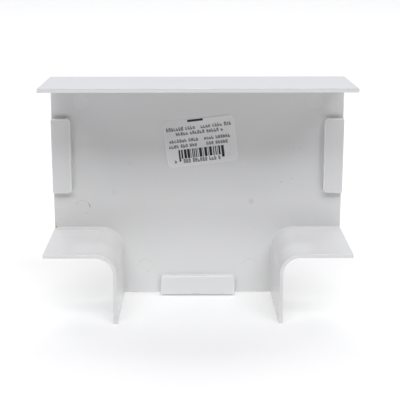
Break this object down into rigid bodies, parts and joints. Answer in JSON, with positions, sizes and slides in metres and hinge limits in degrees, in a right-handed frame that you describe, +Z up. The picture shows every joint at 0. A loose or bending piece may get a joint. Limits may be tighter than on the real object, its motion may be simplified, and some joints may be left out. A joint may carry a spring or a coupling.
{
  "type": "trunking tee fitting",
  "caption": "Flat-faced tee cover for rectangular cable trunking, open at the back and at each end, with rounded bends, a hooked lip at each opening and a stuck-on label inside.",
  "frame": {"origin": "middle of the bottom of the bounding box, at the end of the branch, halfway between the open rim and the outside of the face", "axes": "+Z up the branch towards the run's closed side, X along the run, -Y out of the open back towards the wall that the cover is fixed to, +Y out of the face"},
  "size_m": [0.156, 0.047, 0.1211],
  "materials": {
    "cover_plastic": "moulded gloss, white",
    "label_paper": "smooth coated paper with plain grey print"
  },
  "bodies": {
    "root": {"tee_cover": "cover_plastic", "label": "label_paper"}
  },
  "joints": []
}
